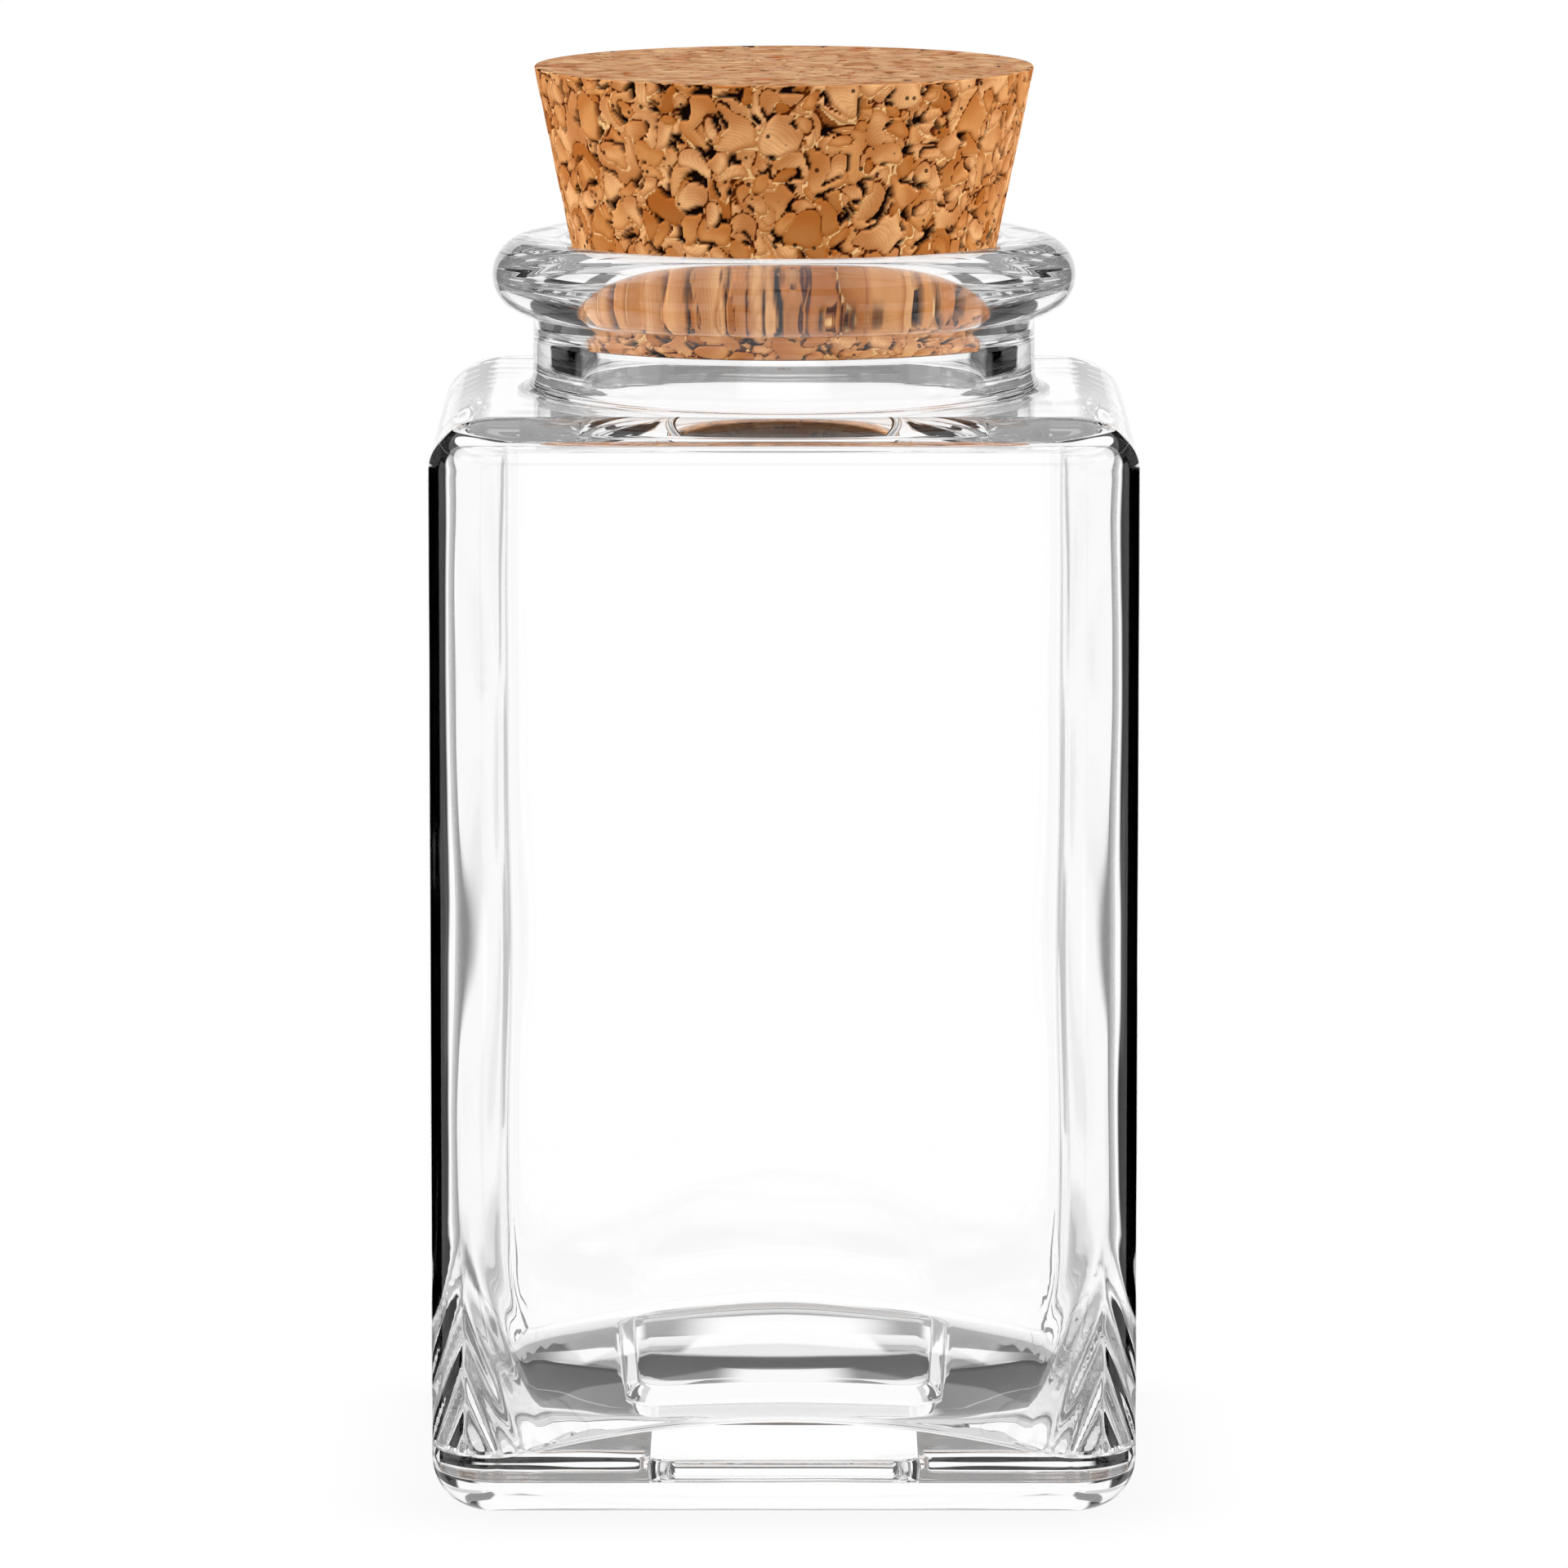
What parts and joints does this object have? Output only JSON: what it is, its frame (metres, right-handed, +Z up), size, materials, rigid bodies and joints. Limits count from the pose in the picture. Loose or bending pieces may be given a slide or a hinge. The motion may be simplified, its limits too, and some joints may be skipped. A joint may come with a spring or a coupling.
{
  "type": "square glass jar with cork stopper",
  "caption": "Square clear-glass storage jar with rounded corners, a round neck with a bead lip, and a tapered cork stopper that pulls out of the mouth.",
  "frame": {"origin": "centre of the square base, on the plane the jar stands on", "axes": "+Z up, along the axis of the neck and the stopper; X and Y square to the flat walls"},
  "size_m": [0.06, 0.06, 0.1212],
  "materials": {
    "clear_glass": "polished, colourless, moulded",
    "cork": "pressed cork granules, matte, unvarnished"
  },
  "bodies": {
    "jar": {"glass_jar": "clear_glass"},
    "stopper": {"cork_stopper": "cork"}
  },
  "joints": [
    {"name": "cork_pull", "type": "slide", "parent": "jar", "child": "stopper", "axis": [0, 0, 1], "range_m": [0, 0.03]}
  ]
}
